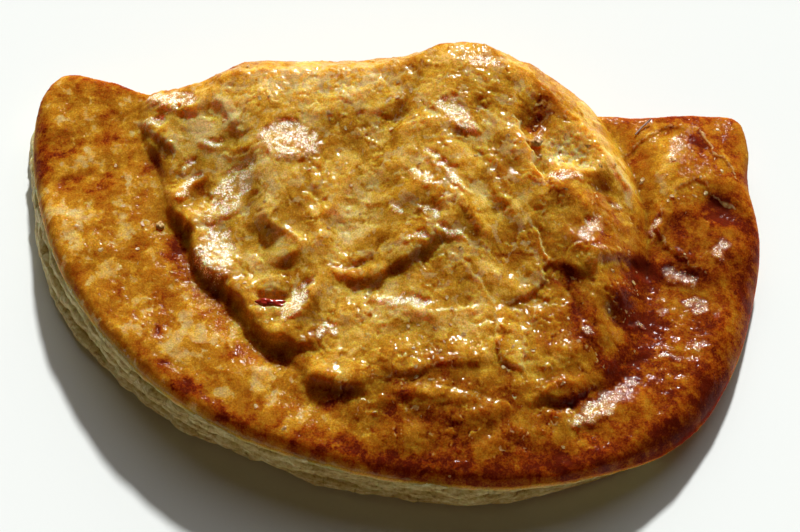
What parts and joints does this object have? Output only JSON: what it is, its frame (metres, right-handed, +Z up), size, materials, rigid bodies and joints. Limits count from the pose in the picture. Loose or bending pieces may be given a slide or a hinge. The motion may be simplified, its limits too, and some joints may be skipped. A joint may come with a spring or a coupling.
{
  "type": "cornish pasty",
  "caption": "Baked puff pastry turnover, D-shaped, with a wide flaky rim and a crumpled glazed crust over its filling.",
  "frame": {"origin": "on the surface that the pasty rests on, under the middle of its bounding box", "axes": "+X along the fold from the left horn to the right horn, +Y towards the fold, +Z up"},
  "size_m": [0.186, 0.1198, 0.035],
  "materials": {
    "golden_crust": "egg-washed puff pastry, glossy and golden to red-brown on top, pale and flaky at the cut edge"
  },
  "bodies": {
    "root": {"pasty": "golden_crust"}
  },
  "joints": []
}
